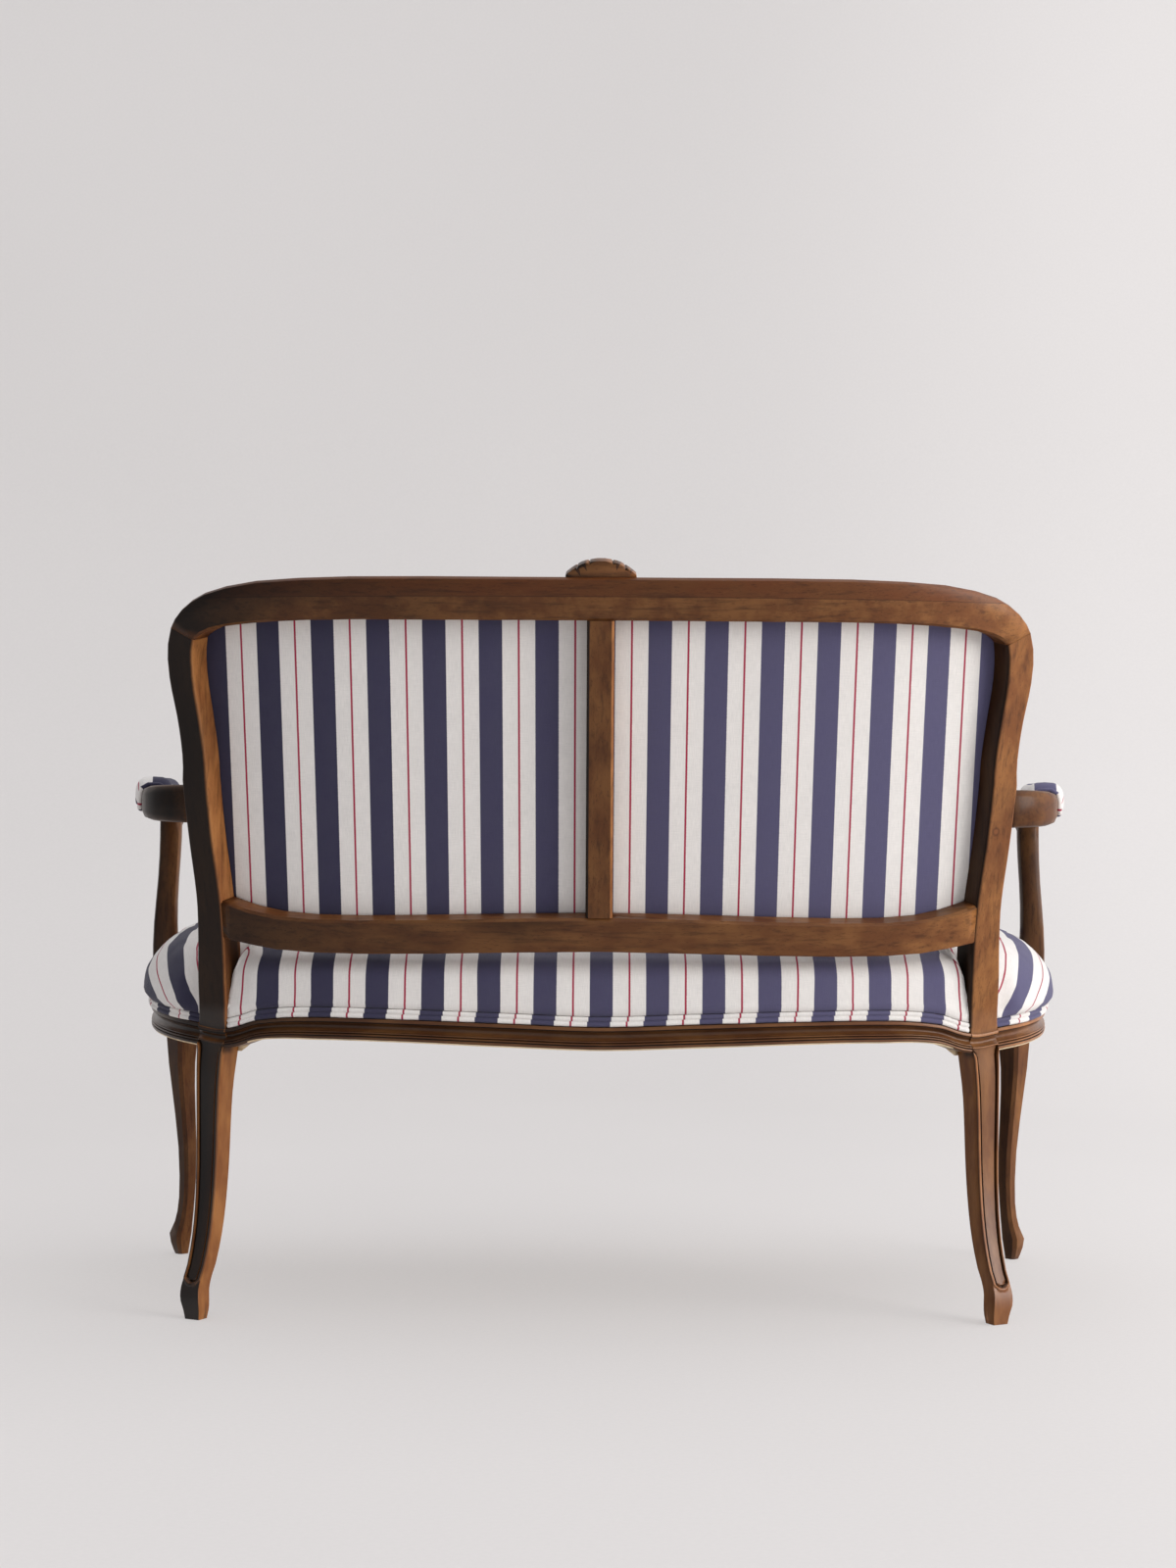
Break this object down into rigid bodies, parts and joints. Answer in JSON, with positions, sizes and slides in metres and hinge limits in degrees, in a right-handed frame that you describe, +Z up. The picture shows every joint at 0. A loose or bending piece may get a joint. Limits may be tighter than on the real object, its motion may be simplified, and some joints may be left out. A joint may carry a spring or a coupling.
{
  "type": "settee",
  "caption": "Upholstered settee with a carved wood frame: arched crest rail, S-curved stiles, serpentine moulded seat rails, cabriole legs, open arms with pads, double welt.",
  "frame": {"origin": "on the floor under the middle of the bounding box", "axes": "+X along the settee's width, +Y from the back to the front of the seat, +Z up"},
  "size_m": [1.2274, 0.7192, 0.9274],
  "materials": {
    "stained_beech": "dark stained and polished",
    "raw_beech": "raw, sawn",
    "striped_cloth": "woven wide stripes in dark blue and off-white with a crimson pin stripe",
    "welt_cloth": "cord covered in the striped cloth",
    "jute_webbing": "coarse woven",
    "hessian": "open plain weave"
  },
  "bodies": {
    "root": {"arm_left": "stained_beech", "arm_pad_left": "striped_cloth", "arm_pad_right": "striped_cloth", "arm_right": "stained_beech", "arm_support_left": "stained_beech", "arm_support_right": "stained_beech", "arm_welt_left": "welt_cloth", "arm_welt_right": "welt_cloth", "back_pad": "striped_cloth", "back_stile_left": "stained_beech", "back_stile_right": "stained_beech", "back_upright": "stained_beech", "back_webbing_1": "jute_webbing", "back_webbing_2": "jute_webbing", "back_webbing_3": "jute_webbing", "back_webbing_4": "jute_webbing", "back_welt": "welt_cloth", "crest_carving": "stained_beech", "crest_rail": "stained_beech", "front_leg_left": "stained_beech", "front_leg_right": "stained_beech", "front_seat_rail": "stained_beech", "lower_back_rail": "stained_beech", "outside_back_cover": "striped_cloth", "rear_seat_rail": "stained_beech", "seat_block_front_left": "raw_beech", "seat_block_front_right": "raw_beech", "seat_block_rear_left": "raw_beech", "seat_block_rear_right": "raw_beech", "seat_hessian": "hessian", "seat_pad": "striped_cloth", "seat_stretcher": "raw_beech", "seat_webbing_1": "jute_webbing", "seat_webbing_2": "jute_webbing", "seat_webbing_3": "jute_webbing", "seat_webbing_4": "jute_webbing", "seat_webbing_5": "jute_webbing", "seat_webbing_6": "jute_webbing", "seat_webbing_7": "jute_webbing", "seat_webbing_cross_1": "jute_webbing", "seat_webbing_cross_2": "jute_webbing", "seat_welt_front": "welt_cloth", "seat_welt_left": "welt_cloth", "seat_welt_rear": "welt_cloth", "seat_welt_right": "welt_cloth", "side_seat_rail_left": "stained_beech", "side_seat_rail_right": "stained_beech"}
  },
  "joints": []
}
